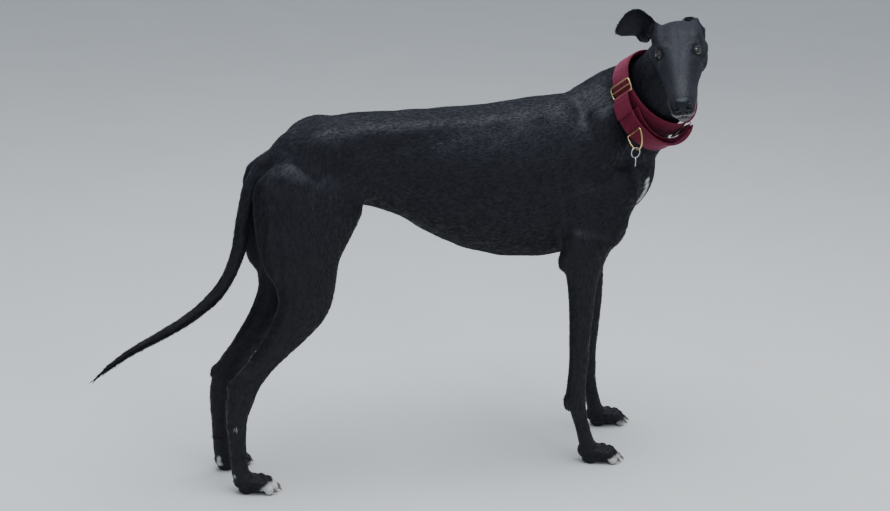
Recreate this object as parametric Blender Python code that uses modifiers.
# A standing greyhound that looks to its right, with a wide fabric collar. Life size, in metres, +Z up.
# The dog faces +X, its left side is +Y, and its paws stand on z = 0. Flesh is built as lofts along the
# body's own lines and ellipsoids for the muscles, blended into one surface, then parted at the joints.
import math

import bmesh
import bpy
import numpy as np
from mathutils import Matrix, Vector

# Sizes of the whole, in metres
GAP = 0.0003  # clearance between neighbouring parts
SHARP_ANGLE = math.radians(38)  # edges sharper than this are shaded as edges
ORIGIN_SHIFT = Vector((-0.02740, 0.09695, 0.0))  # puts the bounding box's bottom centre on the origin
BODY_VOXEL, HEAD_VOXEL, PAW_VOXEL = 0.0048, 0.0021, 0.0021
BODY_TRIANGLES, HEAD_TRIANGLES, PAW_TRIANGLES = 3900, 2300, 330

# Torso sections from the breast back to the rump: x, y, top, bottom, half width
TORSO = (
    (0.475, 0.000, 0.680, 0.500, 0.050),
    (0.430, 0.000, 0.708, 0.445, 0.076),
    (0.370, 0.000, 0.724, 0.414, 0.092),
    (0.300, 0.000, 0.718, 0.407, 0.099),
    (0.240, 0.000, 0.712, 0.412, 0.101),
    (0.180, 0.000, 0.708, 0.431, 0.099),
    (0.110, 0.000, 0.706, 0.466, 0.091),
    (0.050, -0.002, 0.704, 0.501, 0.079),
    (-0.010, -0.006, 0.703, 0.522, 0.070),
    (-0.070, -0.011, 0.702, 0.534, 0.071),
    (-0.130, -0.015, 0.693, 0.543, 0.074),
    (-0.175, -0.018, 0.671, 0.545, 0.064),
    (-0.212, -0.020, 0.637, 0.560, 0.040),
)
# Neck sections from the chest to the back of the skull: x, y, z, half depth, half width
NECK = (
    (0.385, 0.000, 0.588, 0.125, 0.078),
    (0.447, 0.000, 0.648, 0.111, 0.068),
    (0.490, -0.012, 0.690, 0.097, 0.062),
    (0.514, -0.042, 0.726, 0.079, 0.062),
    (0.525, -0.082, 0.760, 0.068, 0.056),
    (0.528, -0.110, 0.799, 0.056, 0.049),
)
# Tail centre line and radius from the rump to the tip: x, z, radius
TAIL = (
    (-0.180, 0.644, 0.024), (-0.217, 0.618, 0.0210), (-0.244, 0.583, 0.0185), (-0.259, 0.545, 0.0170),
    (-0.267, 0.505, 0.0156), (-0.274, 0.462, 0.0144), (-0.289, 0.418, 0.0134), (-0.313, 0.378, 0.0124),
    (-0.346, 0.346, 0.0110), (-0.384, 0.320, 0.0100), (-0.422, 0.299, 0.0090), (-0.458, 0.281, 0.0080),
    (-0.492, 0.262, 0.0068), (-0.522, 0.241, 0.0052), (-0.546, 0.220, 0.0030),
)
TAIL_Y = -0.020
# Leg sections from the top down: x, z, half depth, half width
FORE_LEG = (
    (0.388, 0.470, 0.056, 0.030), (0.378, 0.420, 0.045, 0.0275), (0.3765, 0.375, 0.0315, 0.0240),
    (0.3770, 0.330, 0.0255, 0.0215), (0.3770, 0.270, 0.0218, 0.0195), (0.3768, 0.205, 0.0195, 0.0175),
    (0.3745, 0.165, 0.0190, 0.0178), (0.3745, 0.135, 0.0205, 0.0190), (0.3810, 0.108, 0.0165, 0.0165),
    (0.3905, 0.075, 0.0145, 0.0155), (0.4010, 0.042, 0.0160, 0.0180),
)
FORE_LEAN_LEFT = (0.045, 0.062, 0.078, 0.087, 0.090, 0.0885, 0.0885, 0.0885, 0.087, 0.086, 0.084)
HIND_LEG = (
    (-0.132, 0.620, 0.062, 0.030), (-0.150, 0.565, 0.104, 0.043), (-0.164, 0.505, 0.094, 0.044),
    (-0.168, 0.450, 0.076, 0.039), (-0.163, 0.405, 0.059, 0.034), (-0.168, 0.362, 0.050, 0.030),
    (-0.190, 0.322, 0.038, 0.026), (-0.216, 0.288, 0.0295, 0.0220), (-0.246, 0.253, 0.0245, 0.0185),
    (-0.275, 0.216, 0.0265, 0.0190), (-0.2870, 0.184, 0.0262, 0.0190), (-0.2935, 0.150, 0.0212, 0.0165),
    (-0.2930, 0.110, 0.0175, 0.0150), (-0.2910, 0.072, 0.0165, 0.0150), (-0.2870, 0.040, 0.0175, 0.0170),
)
HIND_LEAN_LEFT = (0.004, 0.000, -0.008, -0.014, -0.014, -0.015, -0.016, -0.016, -0.015, -0.012,
                  -0.011, -0.012, -0.013, -0.014, -0.015)
FORE_Y, HIND_Y = 0.091, 0.090

# The head: its eyes' midpoint in the body's frame, and how it is turned
EYES_AT = Vector((0.5015, -0.195, 0.8295))
HEAD_HEADING, HEAD_PITCH, HEAD_ROLL = 19.0, 22.5, 10.5  # degrees from straight right, down, left side up
EYE_HALF_SPACING, EYE_BACK, EYE_UP, EYE_RADIUS = 0.0307, 0.0040, 0.0026, 0.0115
LID_THICKNESS = 0.0030
EYE_OUTWARD, EYE_RAISED = 28.0, 16.0  # degrees each eye looks outward and up from the muzzle's line

# The collar: an oval ring round the neck. Its frame has x towards the throat and z towards the head
COLLAR_AT = Vector((0.518, -0.062, 0.734))
COLLAR_AXIS = Vector((0.22, -0.80, 0.56))  # towards the head
COLLAR_DEPTH, COLLAR_WIDTH = 0.084, 0.068  # half sizes to the middle of the webbing
BAND_HALF_WIDTH, BAND_THICKNESS, BAND_FLARE = 0.025, 0.0036, 0.0020
axis = COLLAR_AXIS.normalized()
throat = Vector((0.55, 0.0, -0.80))
throat = (throat - throat.dot(axis) * axis).normalized()
COLLAR = Matrix.Translation(COLLAR_AT) @ Matrix((throat, axis.cross(throat), axis)).transposed().to_4x4()
NECK_BACK = 0.004  # the neck fills the band at the nape and lies clear of it by twice this at the throat
NECK_FULLNESS = (  # along the collar's axis, half depth, half width
    (-0.050, 0.0690, 0.0540), (-0.028, 0.0755, 0.0610), (0.000, 0.0795, 0.0668), (0.028, 0.0775, 0.0645),
    (0.052, 0.0660, 0.0550),
)

# Clear the scene and make the two collections
for existing in list(bpy.data.objects):
    bpy.data.objects.remove(existing, do_unlink=True)
dog = bpy.data.collections.new("greyhound")
cutters = bpy.data.collections.new("cutters")
bpy.context.scene.collection.children.link(dog)
bpy.context.scene.collection.children.link(cutters)


def material(name, colour, roughness, metallic=0.0):
    made = bpy.data.materials.new(name)
    made.use_nodes = True
    shader = made.node_tree.nodes["Principled BSDF"]
    shader.inputs["Base Color"].default_value = (*colour, 1.0)
    shader.inputs["Roughness"].default_value = roughness
    shader.inputs["Metallic"].default_value = metallic
    return made


COAT = material("black_coat", (0.012, 0.012, 0.015), 0.55)
NOSE_LEATHER = material("nose_leather", (0.010, 0.010, 0.011), 0.40)
EYE = material("amber_eye", (0.10, 0.045, 0.015), 0.08)
WEBBING = material("burgundy_webbing", (0.25, 0.012, 0.045), 0.85)
BRASS = material("brass", (0.80, 0.56, 0.22), 0.25, 1.0)
STEEL = material("steel", (0.70, 0.70, 0.70), 0.25, 1.0)


# Form builders: each returns (points, faces)
def turned(matrix, form):
    points, faces = form
    return [matrix @ Vector(p) for p in points], faces


def merged(forms):
    points, faces = [], []
    for form_points, form_faces in forms:
        start = len(points)
        points += [Vector(p) for p in form_points]
        faces += [tuple(start + i for i in face) for face in form_faces]
    return points, faces


def lofted(rows, side=(0, 1, 0), around=20, power=2.0):
    """A closed loft through sections (x, y, z, half depth, half width) set square to the path.
    Their width runs along side, or level with the ground when side is None."""
    centres = [Vector(row[:3]) for row in rows]
    points, last = [], len(rows) - 1
    for i, row in enumerate(rows):
        along = (centres[min(i + 1, last)] - centres[max(i - 1, 0)]).normalized()
        level = Vector(side) if side else Vector((0, 0, 1)).cross(along)
        across = (level - level.dot(along) * along).normalized()
        depth = across.cross(along)
        for k in range(around):
            angle = 2 * math.pi * k / around
            c, s = math.cos(angle), math.sin(angle)
            c = math.copysign(abs(c) ** (2 / power), c)
            s = math.copysign(abs(s) ** (2 / power), s)
            points.append(centres[i] + depth * (row[3] * c) + across * (row[4] * s))
    faces = []
    for i in range(last):
        for k in range(around):
            a, b = i * around + k, i * around + (k + 1) % around
            faces.append((a, b, b + around, a + around))
    faces.append(tuple(range(around))[::-1])
    faces.append(tuple(last * around + k for k in range(around)))
    return points, faces


def form_from(shape):
    """A primitive's points and faces, and frees it."""
    form = [v.co.copy() for v in shape.verts], [tuple(v.index for v in face.verts) for face in shape.faces]
    shape.free()
    return form


def blob(centre, radii, tilt=0.0, turn=0.0, around=20, rings=12):
    """An ellipsoid, tilted about Y and then turned about Z, in degrees."""
    ball = bmesh.new()
    bmesh.ops.create_uvsphere(ball, u_segments=around, v_segments=rings, radius=1.0)
    place = (Matrix.Translation(centre) @ Matrix.Rotation(math.radians(turn), 4, "Z")
             @ Matrix.Rotation(math.radians(tilt), 4, "Y") @ Matrix.Diagonal((*radii, 1.0)))
    return turned(place, form_from(ball))


def mirrored(form):
    points, faces = form
    return [Vector((p[0], -p[1], p[2])) for p in points], [tuple(face)[::-1] for face in faces]


def both_sides(form):
    return [form, mirrored(form)]


def block(centre, size, matrix=None):
    """A box with its sides along the axes, or along those of the matrix."""
    box = bmesh.new()
    bmesh.ops.create_cube(box, size=1.0)
    place = Matrix.Translation(centre) @ (matrix or Matrix.Identity(4)) @ Matrix.Diagonal((*size, 1.0))
    return turned(place, form_from(box))


def disc(radius, thickness, around=24):
    coin = bmesh.new()
    bmesh.ops.create_cone(coin, cap_ends=True, segments=around, depth=thickness,
                          radius1=radius, radius2=radius)
    return form_from(coin)


# Object helpers
def placed(name, form, look=COAT, collection=dog):
    mesh = bpy.data.meshes.new(name)
    points, faces = form
    mesh.from_pydata([tuple(p) for p in points], [], faces)
    shape = bmesh.new()
    shape.from_mesh(mesh)
    bmesh.ops.recalc_face_normals(shape, faces=shape.faces)
    shape.to_mesh(mesh)
    shape.free()
    mesh.materials.append(look)
    obj = bpy.data.objects.new(name, mesh)
    collection.objects.link(obj)
    if collection is cutters:
        obj.hide_render = True
        obj.display_type = "WIRE"
    return obj


def settle(obj):
    """Applies the object's modifiers."""
    bpy.context.view_layer.update()
    seen = obj.evaluated_get(bpy.context.evaluated_depsgraph_get())
    mesh = bpy.data.meshes.new_from_object(seen)
    obj.modifiers.clear()
    obj.data = mesh
    return obj


def largest_body(obj):
    """Keeps the largest closed surface, so that a cut leaves no crumbs."""
    shape = bmesh.new()
    shape.from_mesh(obj.data)
    bmesh.ops.triangulate(shape, faces=shape.faces)
    waiting, islands = set(shape.verts), []
    while waiting:
        stack = [waiting.pop()]
        island = set(stack)
        while stack:
            for edge in stack.pop().link_edges:
                for vert in edge.verts:
                    if vert in waiting:
                        waiting.discard(vert)
                        island.add(vert)
                        stack.append(vert)
        islands.append(island)
    islands.sort(key=len)
    for island in islands[:-1]:
        bmesh.ops.delete(shape, geom=list(island), context="VERTS")
    shape.to_mesh(obj.data)
    shape.free()
    return obj


def carved(obj, form, operation="DIFFERENCE", solver="MANIFOLD"):
    """Cuts a form from an object, keeps only what they share, or joins them."""
    tool = placed("tool", form, COAT, cutters)
    cut = obj.modifiers.new("cut", "BOOLEAN")
    cut.operation, cut.solver, cut.object = operation, solver, tool
    settle(obj)
    bpy.data.objects.remove(tool, do_unlink=True)
    return largest_body(obj)


def form_of(obj, grow=0.0):
    """An object's surface as a form, moved outward along its normals."""
    mesh = obj.data
    points = [v.co + v.normal * grow for v in mesh.vertices]
    return points, [tuple(face.vertices) for face in mesh.polygons]


def flesh(name, forms, voxel, rounds, triangles, broad=None, broad_rounds=0):
    """Blends overlapping forms into one smooth closed surface of about this many triangles.
    broad(point) says, from 0 to 1, how much of the further broad_rounds of smoothing a point takes."""
    obj = placed(name, merged(forms))
    blend = obj.modifiers.new("blend", "REMESH")
    blend.mode, blend.voxel_size = "VOXEL", voxel
    soften = obj.modifiers.new("soften", "SMOOTH")
    soften.factor, soften.iterations = 0.5, rounds
    settle(obj)
    if broad:
        group = obj.vertex_groups.new(name="broad")
        for vertex in obj.data.vertices:
            group.add([vertex.index], broad(vertex.co), "REPLACE")
        melt = obj.modifiers.new("melt", "SMOOTH")
        melt.factor, melt.iterations, melt.vertex_group = 0.5, broad_rounds, "broad"
        settle(obj)
        obj.vertex_groups.clear()
    fewer = obj.modifiers.new("fewer", "DECIMATE")
    fewer.ratio = min(1.0, triangles / (2 * len(obj.data.polygons)))
    settle(obj)
    return largest_body(obj)


def parted(body, name, centre, size, matrix=None):
    """Parts off what lies in a box as a node of its own, and leaves a gap round it."""
    piece = placed(name, form_of(body))
    carved(piece, block(centre, size, matrix), "INTERSECT")
    carved(body, block(centre, [side + 2 * GAP for side in size], matrix))
    return piece


def pitched(degrees):
    return Matrix.Rotation(math.radians(degrees), 4, "Y")


# Torso, neck and tail
torso_rows = [(x, y, (top + bottom) / 2, (top - bottom) / 2, half) for x, y, top, bottom, half in TORSO]
tail_rows = [(x, TAIL_Y, z, radius, radius * 0.96) for x, z, radius in TAIL]
body_forms = [lofted(torso_rows, around=28, power=2.25), lofted(NECK, side=None, around=24),
              lofted(tail_rows, around=12)]
# Breast, shoulder blades, upper arms and the points of the shoulders
body_forms.append(blob((0.461, 0.000, 0.578), (0.087, 0.066, 0.098), tilt=-12))
body_forms += both_sides(blob((0.404, 0.062, 0.628), (0.058, 0.036, 0.112), tilt=28))
body_forms += both_sides(blob((0.398, 0.077, 0.505), (0.070, 0.032, 0.085), tilt=-32))
body_forms += both_sides(blob((0.448, 0.066, 0.535), (0.045, 0.034, 0.060), tilt=20))
body_forms += both_sides(blob((0.345, 0.088, 0.418), (0.021, 0.018, 0.026)))
# Loin muscles, hips and the seat bones
for side in (-1, 1):
    body_forms.append(lofted([(x, y + side * 0.034, top - 0.037, 0.029, 0.034)
                              for x, y, top, bottom, half in TORSO[3:11]], around=14))
    body_forms.append(blob((-0.122, -0.015 + side * 0.046, 0.640), (0.068, 0.036, 0.054), tilt=-14))
    body_forms.append(blob((-0.216, -0.020 + side * 0.038, 0.570), (0.028, 0.022, 0.036), tilt=-20))
    body_forms.append(blob((-0.052, -0.008 + side * 0.050, 0.585), (0.050, 0.022, 0.040), tilt=-10))


def neck_fullness():
    """The part of the neck that the collar lies on."""
    rows = [tuple(COLLAR @ Vector((-NECK_BACK, 0, z))) + (depth, width)
            for z, depth, width in NECK_FULLNESS]
    return lofted(rows, side=axis.cross(throat), around=28)


body_forms.append(neck_fullness())


def fore_leg(side):
    lean = FORE_LEAN_LEFT if side > 0 else (0.0,) * len(FORE_LEG)
    return [(x + more, side * FORE_Y, z, depth, width)
            for (x, z, depth, width), more in zip(FORE_LEG, lean)]


def hind_leg(side):
    rows = []
    for i, (x, z, depth, width) in enumerate(HIND_LEG):
        spread = min(1.0, 0.60 + 0.08 * i)
        if side > 0:
            lower = 0.008 * max(0.0, 1 - abs(z - 0.21) / 0.15)
            rows.append((x + HIND_LEAN_LEFT[i], 0.024 + 0.030 * (1 - spread), z - lower, depth, width))
        else:
            rows.append((x, -0.020 - (HIND_Y - 0.020) * spread, z, depth, width))
    return rows


legs = {"fore_right": fore_leg(-1), "fore_left": fore_leg(1),
        "hind_right": hind_leg(-1), "hind_left": hind_leg(1)}
for rows in legs.values():
    body_forms.append(lofted(rows, around=16, power=2.1))
for name in ("fore_right", "fore_left"):
    carpus = legs[name][7]
    body_forms.append(blob((carpus[0] - 0.0180, carpus[1], carpus[2] - 0.006), (0.0095, 0.0085, 0.019)))
for name in ("hind_right", "hind_left"):
    hock = legs[name][9]
    body_forms.append(blob((hock[0] - 0.025, hock[1], hock[2] - 0.003), (0.012, 0.010, 0.017), tilt=30))
    thigh = legs[name][2]
    above_stifle = (thigh[0] + 0.030, thigh[1] * 1.02, thigh[2] + 0.012)
    body_forms.append(blob(above_stifle, (0.050, 0.040, 0.085), tilt=12))


def broad_flesh(point):
    """The trunk's muscles melt together; the legs, the tail and the neck's front keep their drawing."""
    near_tail = 1.0 - min(1.0, max(0.0, (-0.215 - point.x) / 0.03))
    return min(1.0, max(0.06, (point.z - 0.36) / 0.14)) * max(near_tail, 0.05)


body = flesh("body", body_forms, BODY_VOXEL, 4, BODY_TRIANGLES, broad_flesh, 26)

# Paws: four arched toes, a heel pad and their claws, standing flat on the floor
TOES = (  # forward, sideways; the two middle toes lead
    (0.0160, -0.0200), (0.0270, -0.0075), (0.0270, 0.0075), (0.0160, 0.0200),
)
ANKLE_END = ((0.007, 0.028, 0.0185, 0.0200), (0.013, 0.016, 0.0165, 0.0185))  # further rows into the paw
TOE_SPREAD = 6.0  # radians of turn for each metre that a toe lies off the middle


def claw(tip, heading):
    """A short tapered claw that curves down to the floor."""
    rows = []
    for out, down, radius in ((-0.006, 0.000, 0.0034), (0.003, -0.0015, 0.0030), (0.0080, -0.0050, 0.0019),
                              (0.0105, -0.0088, 0.0008)):
        rows.append((tip[0] + out * math.cos(heading), tip[1] + out * math.sin(heading), tip[2] + down,
                     radius * 1.15, radius * 0.85))
    return lofted(rows, side=(-math.sin(heading), math.cos(heading), 0), around=6)


def paw(name, ankle_rows, ahead, heading, size):
    """ankle_rows is the end of the leg; the paw's middle lies ahead of it along the heading."""
    foot = Vector(ankle_rows[-1][:3]) + Vector((math.cos(heading), math.sin(heading), 0)) * ahead
    place = (Matrix.Translation((foot.x, foot.y, 0)) @ Matrix.Rotation(heading, 4, "Z")
             @ Matrix.Scale(size, 4))
    rows, end = list(ankle_rows), ankle_rows[-1]
    for further, height, depth, width in ANKLE_END:
        rows.append((end[0] + further * math.cos(heading), end[1] + further * math.sin(heading), height, depth, width))
    forms, claws = [lofted(rows, around=16)], []
    local = [blob((-0.003, 0, 0.0225), (0.031, 0.0225, 0.0150), tilt=12),
             blob((-0.014, 0, 0.0095), (0.018, 0.0190, 0.0115)),
             blob((0.010, 0, 0.0125), (0.026, 0.0235, 0.0120)),
             blob((-0.022, 0, 0.028), (0.020, 0.018, 0.020), tilt=25)]
    for forward, sideways in TOES:
        spread = sideways * TOE_SPREAD
        direction, turn = (math.cos(spread), math.sin(spread)), math.degrees(spread)
        local.append(blob((forward - 0.013, sideways * 0.92, 0.0250), (0.0175, 0.0090, 0.0092), 14, turn))
        local.append(blob((forward + 0.003, sideways, 0.0215), (0.0125, 0.0094, 0.0098), 30, turn))
        end = (forward + 0.0125 * direction[0], sideways + 0.0125 * direction[1])
        local.append(blob((end[0], end[1], 0.0105), (0.0100, 0.0088, 0.0110), 0, turn))
        claws.append(claw((end[0] + 0.008 * direction[0], end[1] + 0.008 * direction[1], 0.0125), spread))
    forms += [turned(place, form) for form in local]
    made = flesh(name, forms, PAW_VOXEL, 3, PAW_TRIANGLES)
    for form in claws:
        carved(made, turned(place, form), "UNION")
    return carved(made, block((foot.x, foot.y, -0.05), (0.4, 0.4, 0.10)))


PAWS = {  # how far the middle lies ahead of the ankle, heading to the left in degrees, size
    "fore_right": (0.022, -4, 0.96), "fore_left": (0.023, 6, 0.97),
    "hind_right": (0.024, -3, 0.93), "hind_left": (0.022, 38, 0.93),
}
paws = {}
for name, (ahead, heading, size) in PAWS.items():
    paws[name] = paw("paw_" + name, legs[name][-4:], ahead, math.radians(heading), size)

# The head, built in its own frame: x to the nose, y to the dog's left, z up, from midway between the eyes
heading, pitch, roll = (math.radians(angle) for angle in (HEAD_HEADING, HEAD_PITCH, HEAD_ROLL))
level = Vector((-math.sin(heading), -math.cos(heading), 0))
forward = level * math.cos(pitch) - Vector((0, 0, 1)) * math.sin(pitch)
left = Vector((0, 0, 1)).cross(forward).normalized()
up = forward.cross(left)
left, up = left * math.cos(roll) + up * math.sin(roll), up * math.cos(roll) - left * math.sin(roll)
HEAD = Matrix.Translation(EYES_AT) @ Matrix((forward, left, up)).transposed().to_4x4()

MUZZLE = (  # x, top, bottom, half width
    (-0.060, 0.023, -0.060, 0.040), (-0.030, 0.0260, -0.062, 0.0445), (-0.005, 0.0240, -0.062, 0.0435),
    (0.018, 0.0200, -0.061, 0.0400), (0.045, 0.0140, -0.060, 0.0335), (0.075, 0.0070, -0.060, 0.0285),
    (0.104, 0.0015, -0.060, 0.0248), (0.123, -0.0030, -0.058, 0.0215), (0.135, -0.0095, -0.053, 0.0160),
)
muzzle_rows = [(x, 0, (top + bottom) / 2, (top - bottom) / 2, half) for x, top, bottom, half in MUZZLE]
head_forms = [lofted(muzzle_rows, around=28, power=2.3)]
head_forms.append(blob((-0.048, 0, -0.005), (0.058, 0.0475, 0.0325)))
head_forms.append(blob((-0.080, 0, -0.003), (0.030, 0.040, 0.020)))
head_forms += both_sides(blob((-0.050, 0.0285, 0.0030), (0.042, 0.0200, 0.0200), turn=-6))
head_forms += both_sides(blob((-0.024, 0.0392, -0.017), (0.040, 0.0140, 0.0150), turn=-14))
head_forms += both_sides(blob((-0.046, 0.0340, -0.034), (0.042, 0.0195, 0.031)))
head_forms += both_sides(blob((0.008, 0.0260, -0.026), (0.040, 0.0150, 0.028), turn=-12))
head_forms += both_sides(blob((-0.008, 0.0235, 0.0115), (0.024, 0.0145, 0.0110), turn=-20))
head_forms += both_sides(blob((-EYE_BACK, EYE_HALF_SPACING, EYE_UP), (EYE_RADIUS + LID_THICKNESS,) * 3))
head_forms += both_sides(blob((0.072, 0.0175, -0.041), (0.054, 0.0100, 0.0165), turn=-4))
head_forms += both_sides(blob((0.121, 0.0105, -0.038), (0.018, 0.0112, 0.0125)))
head_forms += both_sides(blob((-0.080, 0.034, 0.000), (0.020, 0.013, 0.019)))
head_forms.append(blob((0.106, 0, -0.0545), (0.027, 0.0150, 0.0100)))
head_forms.append(blob((0.020, 0, -0.055), (0.075, 0.0210, 0.0110)))
head_forms = [turned(HEAD, form) for form in head_forms]
head_forms.append(lofted(list(NECK[2:]) + [tuple(HEAD @ Vector((-0.055, 0, -0.018))) + (0.038, 0.038)],
                        side=None, around=24))


def broad_head(point):
    """The skull and the face melt together; the lips and the nose's end keep their drawing."""
    local = HEAD.inverted() @ point
    return min(1.0, max(0.05, (0.122 - local.x) / 0.03)) * min(1.0, max(0.10, (local.z + 0.062) / 0.03))


head = flesh("head", head_forms, HEAD_VOXEL, 4, HEAD_TRIANGLES, broad_head, 20)

# The nose leather, with its two nostrils
NOSE_FRONT, NOSE_TOP = 0.1412, -0.0066
nose_forms = [blob((0.1310, 0, -0.0170), (0.0140, 0.0168, 0.0130), tilt=12)]
nose_forms += both_sides(blob((0.1380, 0.0095, -0.0205), (0.0095, 0.0078, 0.0088), turn=-18))
nose_forms.append(blob((0.1370, 0, -0.0290), (0.0075, 0.0050, 0.0085)))
nose = flesh("nose", [turned(HEAD, form) for form in nose_forms], 0.0011, 3, 230)
for vertex in nose.data.vertices:  # a flat top and a flat front, with a soft edge between them
    local = HEAD.inverted() @ vertex.co
    local.x = min(local.x, NOSE_FRONT + (local.x - NOSE_FRONT) * 0.30)
    local.z = min(local.z, NOSE_TOP + (local.z - NOSE_TOP) * 0.40)
    vertex.co = HEAD @ local
nose.data.materials[0] = NOSE_LEATHER
carved(head, form_of(nose, GAP))
for form in both_sides(blob((0.1475, 0.0090, -0.0205), (0.0080, 0.0030, 0.0042), around=10, rings=7)):
    carved(nose, turned(HEAD, form))
for form in both_sides(blob((0.1440, 0.0150, -0.0225), (0.0050, 0.0050, 0.0017), around=10, rings=7)):
    carved(nose, turned(HEAD, form))


# Lids round each eye, and the line of the mouth
def eye_place(side):
    middle = Vector((-EYE_BACK, side * EYE_HALF_SPACING, EYE_UP))
    return (HEAD @ Matrix.Translation(middle) @ Matrix.Rotation(math.radians(side * EYE_OUTWARD), 4, "Z")
            @ Matrix.Rotation(math.radians(-EYE_RAISED), 4, "Y"))


def almond(half_width, half_height, near, far, around=16):
    """A prism along +X with an almond outline, wider at its far end: the opening between the lids."""
    points = []
    for x, size in ((near, 0.9), (far, 1.35)):
        for i in range(around):
            angle = 2 * math.pi * i / around
            pinch = 1 - 0.30 * abs(math.cos(angle)) ** 3
            points.append(Vector((x, half_width * size * math.cos(angle),
                                  half_height * size * pinch * math.sin(angle))))
    faces = [(i, (i + 1) % around, around + (i + 1) % around, around + i) for i in range(around)]
    faces += [tuple(range(around))[::-1], tuple(range(around, 2 * around))]
    return points, faces


eyes = {}
for label, side in (("right", -1), ("left", 1)):
    place = eye_place(side)
    carved(head, turned(place, almond(0.0104, 0.0072, 0.0040, 0.0220)))
    carved(head, turned(place, blob((0, 0, 0), (EYE_RADIUS + GAP,) * 3, around=14, rings=9)))
    ball = blob((0, 0, 0), (EYE_RADIUS,) * 3, around=14, rings=9)
    eyes[label] = placed("eye_" + label, turned(place, ball), EYE)

MOUTH = (  # x along the lips, half width of the muzzle there, height
    (0.1400, 0.0000, -0.0440), (0.1365, 0.0115, -0.0440), (0.1240, 0.0205, -0.0450),
    (0.1030, 0.0250, -0.0462), (0.0750, 0.0285, -0.0474), (0.0520, 0.0315, -0.0490),
    (0.0380, 0.0345, -0.0510),
)
GROOVE_DEPTH, GROOVE_HALF = 0.0034, 0.0009
lips = [(x, -y, z) for x, y, z in MOUTH[:0:-1]] + list(MOUTH)
points, faces = [], []
for i, (x, y, z) in enumerate(lips):
    before, after = lips[max(i - 1, 0)], lips[min(i + 1, len(lips) - 1)]
    along = Vector((after[0] - before[0], after[1] - before[1], 0)).normalized()
    outward = Vector((-along.y, along.x, 0))
    here = Vector((x, y, z))
    fade = 0.45 if i in (0, len(lips) - 1) else 1.0
    inner, outer = here - outward * (GROOVE_DEPTH * fade), here + outward * 0.012
    for spot, half in ((inner, GROOVE_HALF * 0.5), (outer, GROOVE_HALF * 2.2)):
        points += [spot + Vector((0, 0, half)), spot - Vector((0, 0, half))]
for i in range(len(lips) - 1):
    a, b = 4 * i, 4 * i + 4
    faces += [(a, b, b + 2, a + 2), (a + 1, a + 3, b + 3, b + 1),
              (a, a + 1, b + 1, b), (a + 2, b + 2, b + 3, a + 3)]
end = 4 * (len(lips) - 1)
faces += [(0, 2, 3, 1), (end, end + 1, end + 3, end + 2)]
carved(head, turned(HEAD, (points, faces)))


# Ears: a cupped leaf, rolled into a funnel at its root
def leaf(sections, thickness=0.0028, across=6):
    """sections: middle of the back, half-width vector, inward vector that sets the depth of the cup."""
    steps = 3
    path = []
    for i in range(len(sections) - 1):
        for k in range(steps if i < len(sections) - 2 else steps + 1):
            path.append((i, k / steps))
    sheet = []
    for i, part in path:
        before, here = sections[max(i - 1, 0)], sections[i]
        there, after = sections[i + 1], sections[min(i + 2, len(sections) - 1)]
        row = []
        blended = []
        for n in range(3):
            p0, p1, p2, p3 = (Vector(s[n]) for s in (before, here, there, after))
            blended.append(0.5 * ((2 * p1) + (p2 - p0) * part + (2 * p0 - 5 * p1 + 4 * p2 - p3) * part ** 2
                                  + (3 * p1 - p0 - 3 * p2 + p3) * part ** 3))
        for k in range(across + 1):
            t = 2 * k / across - 1
            row.append(blended[0] + blended[1] * t + blended[2] * (t * t))
        sheet.append(row)
    count, wide = len(sheet), across + 1
    middle = np.array([[tuple(p) for p in row] for row in sheet])
    along = np.gradient(middle, axis=0)
    side = np.gradient(middle, axis=1)
    normal = np.cross(along, side)
    normal /= np.maximum(np.linalg.norm(normal, axis=2, keepdims=True), 1e-9)
    both = [middle + normal * thickness / 2, middle - normal * thickness / 2]
    points = [Vector(p) for layer in both for row in layer for p in row]
    faces, layer = [], count * wide
    for i in range(count - 1):
        for k in range(wide - 1):
            a = i * wide + k
            faces.append((a, a + 1, a + 1 + wide, a + wide))
            faces.append((layer + a, layer + a + wide, layer + a + 1 + wide, layer + a + 1))
        for k, order in ((0, 1), (wide - 1, -1)):
            a = i * wide + k
            faces.append((a, a + wide, layer + a + wide, layer + a)[::order])
    for i, order in ((0, -1), (count - 1, 1)):
        for k in range(wide - 1):
            a = i * wide + k
            faces.append((a, a + 1, layer + a + 1, layer + a)[::order])
    return points, faces


RIGHT_EAR = (
    ((-0.092, -0.034, -0.004), (0.016, -0.012, -0.010), (0.014, -0.008, 0.006)),
    ((-0.090, -0.047, 0.014), (0.015, -0.010, -0.019), (0.016, -0.012, 0.005)),
    ((-0.083, -0.060, 0.033), (0.011, -0.006, -0.023), (0.013, -0.008, 0.001)),
    ((-0.075, -0.078, 0.040), (0.009, 0.000, -0.0220), (0.007, -0.003, -0.003)),
    ((-0.067, -0.097, 0.035), (0.006, 0.000, -0.0150), (0.004, -0.001, -0.002)),
    ((-0.061, -0.1115, 0.028), (0.002, 0.000, -0.0035), (0.001, 0.000, 0.000)),
)
LEFT_EAR = (
    ((-0.074, 0.044, -0.010), (0.014, 0.005, -0.006), (0.000, 0.003, -0.004)),
    ((-0.0855, 0.0455, 0.0040), (0.012, 0.006, -0.008), (0.001, 0.003, -0.005)),
    ((-0.0945, 0.0390, 0.0115), (0.010, 0.008, -0.008), (0.000, 0.003, -0.008)),
    ((-0.1075, 0.0290, 0.0100), (0.006, 0.010, -0.006), (-0.002, 0.002, -0.010)),
    ((-0.1205, 0.0205, 0.0000), (0.003, 0.008, -0.005), (-0.002, 0.001, -0.006)),
    ((-0.1310, 0.0130, -0.0100), (0.001, 0.003, -0.002), (0.000, 0.000, 0.000)),
)
ears = {}
for label, sections in (("right", RIGHT_EAR), ("left", LEFT_EAR)):
    ears[label] = placed("ear_" + label, turned(HEAD, leaf(sections)))
    carved(ears[label], form_of(head, GAP * 2))

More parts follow.
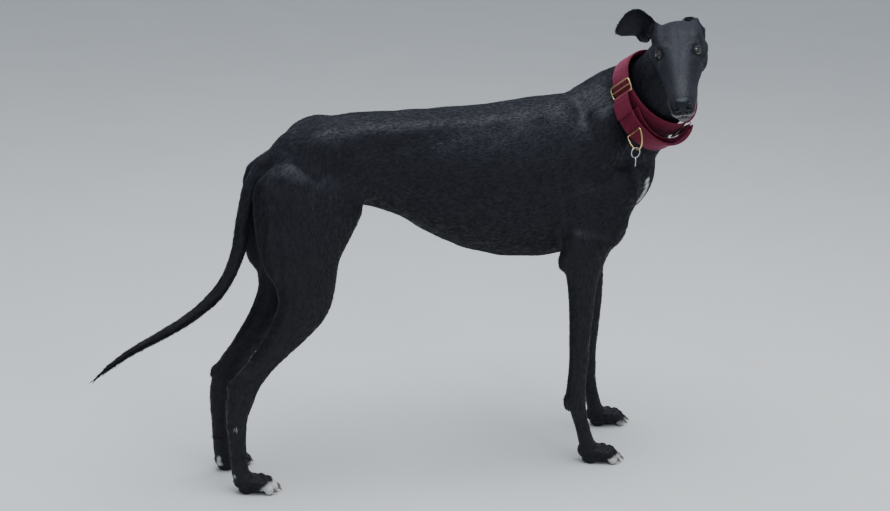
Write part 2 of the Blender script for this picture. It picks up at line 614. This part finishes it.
def strap(start, stop, depth, width, half_width, thickness, steps=40):
    """A flat band along an oval from one angle to another (degrees), or closed when they span 360."""
    closed = abs(stop - start) >= 360
    count = steps if closed else steps + 1
    points, faces = [], []
    for i in range(count):
        angle = math.radians(start + (stop - start) * i / steps)
        c, s = math.cos(angle), math.sin(angle)
        middle = Vector((depth * c, width * s, 0))
        outward = Vector((width * c, depth * s, 0)).normalized()
        for edge in (1, -1):
            for layer in (1, -1):
                points.append(middle + outward * (layer * thickness / 2 - edge * BAND_FLARE)
                              + Vector((0, 0, edge * half_width)))
    for i in range(count if closed else count - 1):
        a, b = 4 * i, 4 * ((i + 1) % count)
        for k, m in ((0, 2), (2, 3), (3, 1), (1, 0)):
            faces.append((a + k, a + m, b + m, b + k))
    if not closed:
        end = 4 * (count - 1)
        faces += [(0, 1, 3, 2), (end, end + 2, end + 3, end + 1)]
    return points, faces


def wire(name, path, radius, look, closed=True):
    """A round wire bent along a path: a curve with a round bevel, made a closed mesh."""
    curve = bpy.data.curves.new(name, "CURVE")
    curve.dimensions, curve.bevel_depth, curve.bevel_resolution = "3D", radius, 2
    curve.use_fill_caps = not closed
    spline = curve.splines.new("POLY")
    spline.points.add(len(path) - 1)
    for point, spot in zip(spline.points, path):
        point.co = (*spot, 1.0)
    spline.use_cyclic_u = closed
    bent = bpy.data.objects.new(name, curve)
    dog.objects.link(bent)
    bpy.context.view_layer.update()
    mesh = bpy.data.meshes.new_from_object(bent.evaluated_get(bpy.context.evaluated_depsgraph_get()))
    bpy.data.objects.remove(bent, do_unlink=True)
    welded = bmesh.new()
    welded.from_mesh(mesh)
    bmesh.ops.remove_doubles(welded, verts=welded.verts, dist=0.00001)
    return placed(name, form_from(welded), look)


def on_collar(angle, out=0.0, along=0.0):
    """A point on the band's middle at an angle, with outward and headward offsets."""
    c, s = math.cos(math.radians(angle)), math.sin(math.radians(angle))
    outward = Vector((COLLAR_WIDTH * c, COLLAR_DEPTH * s, 0)).normalized()
    return Vector((COLLAR_DEPTH * c, COLLAR_WIDTH * s, 0)) + outward * out + Vector((0, 0, along)), outward


band_form = strap(0, 360, COLLAR_DEPTH, COLLAR_WIDTH, BAND_HALF_WIDTH, BAND_THICKNESS, steps=44)
band = placed("collar_band", turned(COLLAR, band_form), WEBBING)

# Part the flesh at its joints, from the ends inward. The head's and the neck's meet under the collar
collar_cut = COLLAR @ Matrix.Translation((0, 0, 0.15))
turn = collar_cut.to_3x3().to_4x4()
carved(head, block(collar_cut.translation, (0.5, 0.5, 0.3), turn), "INTERSECT")
carved(body, block(collar_cut.translation, (0.5, 0.5, 0.3 + 2 * GAP), turn))
band_room = turned(COLLAR, strap(0, 360, COLLAR_DEPTH, COLLAR_WIDTH, BAND_HALF_WIDTH + GAP,
                                 BAND_THICKNESS + 2 * GAP, steps=44))
carved(head, band_room)
carved(body, band_room)
parted(body, "neck", (0.56, -0.03, 0.75), (0.24, 0.30, 0.34), pitched(42))

parted(body, "tail_tip", (-0.50, TAIL_Y, 0.25), (0.20, 0.1, 0.2))
parted(body, "tail_middle", (-0.35, TAIL_Y, 0.36), (0.16, 0.1, 0.24), pitched(0))
parted(body, "tail_base", (-0.292, TAIL_Y, 0.535), (0.10, 0.044, 0.25), pitched(12))

for label in ("right", "left"):
    rows = legs["fore_" + label]
    y = rows[-1][1]
    cut = Vector((rows[-2][0], y, rows[-2][2]))
    carved(paws["fore_" + label], block(cut + Vector((0, 0, -0.10)), (0.3, 0.12, 0.2)), "INTERSECT")
    carved(body, block(cut + Vector((0, 0, -0.10)), (0.3, 0.12, 0.2 + 2 * GAP)))
    parted(body, "pastern_fore_" + label, (rows[7][0], y, 0.125), (0.14, 0.09, 0.106))
    parted(body, "forearm_" + label, (rows[4][0], y, 0.29), (0.14, 0.09, 0.23))
    rows = legs["hind_" + label]
    y = rows[-1][1]
    cut = Vector((rows[-2][0], y, rows[-2][2]))
    carved(paws["hind_" + label], block(cut + Vector((0, 0, -0.10)), (0.3, 0.116, 0.2)), "INTERSECT")
    carved(body, block(cut + Vector((0, 0, -0.10)), (0.3, 0.116, 0.2 + 2 * GAP)))
    parted(body, "hock_" + label, (rows[10][0], y, 0.155), (0.16, 0.09, 0.17))
    parted(body, "shank_" + label, (rows[7][0], y, 0.305), (0.26, 0.09, 0.15))
middle_y = TAIL_Y + 0.002
parted(body, "thigh_right", (-0.155, middle_y - 0.075, 0.47), (0.28, 0.15, 0.19))
parted(body, "thigh_left", (-0.155, middle_y + 0.075 + GAP, 0.47), (0.28, 0.15, 0.19))
parted(body, "rump", (-0.20, -0.02, 0.62), (0.30, 0.3, 0.24))
parted(body, "loin", (0.04, 0.0, 0.60), (0.22, 0.3, 0.30))
body.name = "chest"

# The collar's slack loop, its slide and throat ring, the D-ring with a split ring and a blank tag.
# Angles are in degrees round the collar from the throat
LOOP_FROM, LOOP_START, LOOP_END, LOOP_TO = -128.0, -123.0, -7.0, -4.0
LOOP_HALF_WIDTH, LOOP_SLACK = 0.0220, 0.031
LOOP_TWIST = 26.0  # degrees that the loop turns its face down past the D-ring, where it hangs free
SLIDE_AT, SLIDE_HALF_REACH, D_RING_AT = -129.0, 0.0115, -87.0
THROAT_RING_AT, RING_HALF_REACH = -20.0, 0.0065
FRAME_WIRE, D_WIRE, SPLIT_WIRE = 0.0016, 0.0017, 0.0011
D_HALF_WIDTH, D_DEPTH, SPLIT_RADIUS, TAG_RADIUS, TAG_THICKNESS = 0.0215, 0.0340, 0.0098, 0.0105, 0.0014
COLLAR_DOWN = COLLAR.to_3x3().inverted() @ Vector((0, 0, -1))


def on_loop(angle, out=0.0, along=0.0):
    """A point of the slack loop's middle at an angle, and which way is outward there."""
    part = (angle - LOOP_FROM) / (LOOP_TO - LOOP_FROM)
    slack = LOOP_SLACK * math.sin(math.pi * part) ** 0.8
    turn = math.radians(LOOP_TWIST) * min(1.0, max(0.0, (part - 0.40) / 0.30)) * math.sin(math.pi * part) ** 0.5
    spot, outward = on_collar(angle, BAND_THICKNESS + GAP * 2)
    headward = Vector((0, 0, 1))
    spot += (outward * math.cos(turn) - headward * math.sin(turn)) * out
    spot += (headward * math.cos(turn) + outward * math.sin(turn)) * along
    return spot + (outward + COLLAR_DOWN).normalized() * slack, outward


def loop_form(half_width, thickness, steps=26):
    points, faces = [], []
    for i in range(steps + 1):
        angle = LOOP_START + (LOOP_END - LOOP_START) * i / steps
        for edge in (1, -1):
            for layer in (1, -1):
                out = layer * thickness / 2 - edge * BAND_FLARE
                points.append(on_loop(angle, out, edge * half_width)[0])
    for i in range(steps):
        a, b = 4 * i, 4 * i + 4
        for k, m in ((0, 2), (2, 3), (3, 1), (1, 0)):
            faces.append((a + k, a + m, b + m, b + k))
    end = 4 * steps
    return points, faces + [(0, 1, 3, 2), (end, end + 2, end + 3, end + 1)]


def frame_axes(angle):
    """The middle of a wire frame that lies on the band, its long side's way and its short side's way."""
    spot, outward = on_collar(angle, BAND_THICKNESS / 2 + FRAME_WIRE + GAP * 2)
    length_way = (Vector((0, 0, BAND_HALF_WIDTH)) - outward * BAND_FLARE).normalized()
    return spot, length_way, outward.cross(length_way).normalized()


def frame_path(angle, half_length, half_reach):
    """A rounded rectangle on the band: long along its width, short round the neck."""
    spot, length_way, reach_way = frame_axes(angle)
    path, corner = [], half_reach * 0.5
    for x, y, start in ((1, 1, 0), (-1, 1, 90), (-1, -1, 180), (1, -1, 270)):
        for k in range(3):
            turn = math.radians(start + 45 * k)
            path.append(COLLAR @ (spot + length_way * (x * (half_length - corner) + corner * math.cos(turn))
                                  + reach_way * (y * (half_reach - corner) + corner * math.sin(turn))))
    return path


loop = placed("collar_loop", turned(COLLAR, loop_form(LOOP_HALF_WIDTH, BAND_THICKNESS)), WEBBING)
slide_half_length = BAND_HALF_WIDTH + 0.0035
slide = wire("collar_slide", frame_path(SLIDE_AT, slide_half_length, SLIDE_HALF_REACH), FRAME_WIRE, BRASS)
spot, length_way, reach_way = frame_axes(SLIDE_AT)
bar_path = [COLLAR @ (spot + length_way * (slide_half_length * t)) for t in (-1, 0, 1)]
centre_bar = wire("bar", bar_path, FRAME_WIRE * 0.9, BRASS, closed=False)
carved(slide, form_of(centre_bar), "UNION")
bpy.data.objects.remove(centre_bar, do_unlink=True)
throat_path = frame_path(THROAT_RING_AT, BAND_HALF_WIDTH + 0.0020, RING_HALF_REACH)
throat_ring = wire("collar_throat_ring", throat_path, FRAME_WIRE, STEEL)

# The D-ring's straight side lies across the loop and its bow hangs; the split ring hangs at its lowest
spot, outward = on_loop(D_RING_AT)
bar = COLLAR @ (spot + outward * (BAND_THICKNESS / 2 + BAND_FLARE + D_WIRE + GAP))
hang = (Vector((0, 0, -1)) + axis.z * axis).normalized()
d_path = [bar + axis * (D_HALF_WIDTH * t) for t in (0.92, 0.4, -0.4, -0.92)]
for k in range(11):
    turn = math.radians(180 + 18 * k)
    drop = 0.003 - (D_DEPTH - 0.003) * math.sin(turn)
    d_path.append(bar + axis * (D_HALF_WIDTH * math.cos(turn)) + hang * drop)
d_ring = wire("d_ring", d_path, D_WIRE, BRASS)
bow = min(d_path, key=lambda p: p.z)
at = d_path.index(bow)
wire_way = (d_path[at + 1] - d_path[at - 1]).normalized()
down = Vector((0, 0, -1))
split_centre = bow + down * (SPLIT_RADIUS - D_WIRE - SPLIT_WIRE - GAP * 2)
across = wire_way.cross(down).normalized()
split_path = [split_centre + down * (SPLIT_RADIUS * math.cos(math.radians(18 * k)))
              + across * (SPLIT_RADIUS * math.sin(math.radians(18 * k))) for k in range(20)]
split_ring = wire("split_ring", split_path, SPLIT_WIRE, STEEL)

# The blank tag is seen on its edge; the split ring passes through its hole
low = split_centre + down * SPLIT_RADIUS
tag_face = (across - across.dot(down) * down).normalized()
tag_centre = low + down * (TAG_RADIUS - 0.0030)
tag_turn = Matrix((tag_face.cross(-down), -down, tag_face)).transposed().to_4x4()

tag_place = Matrix.Translation(tag_centre) @ tag_turn
tag = placed("tag", turned(tag_place, disc(TAG_RADIUS, TAG_THICKNESS)), STEEL)
carved(tag, turned(Matrix.Translation(low) @ tag_turn, disc(0.0022, 0.01, 12)))


# The neck and the head give way to the collar's fittings, and everything moves onto the origin
for obj in (bpy.data.objects["neck"], head):
    carved(obj, turned(COLLAR, loop_form(LOOP_HALF_WIDTH + GAP, BAND_THICKNESS + 2 * GAP)))
    for fitting in (slide, throat_ring):
        carved(obj, form_of(fitting, GAP * 2))
for obj in dog.objects:
    obj.data.transform(Matrix.Translation(ORIGIN_SHIFT))
    obj.data.shade_smooth()
    obj.data.set_sharp_from_angle(angle=SHARP_ANGLE)
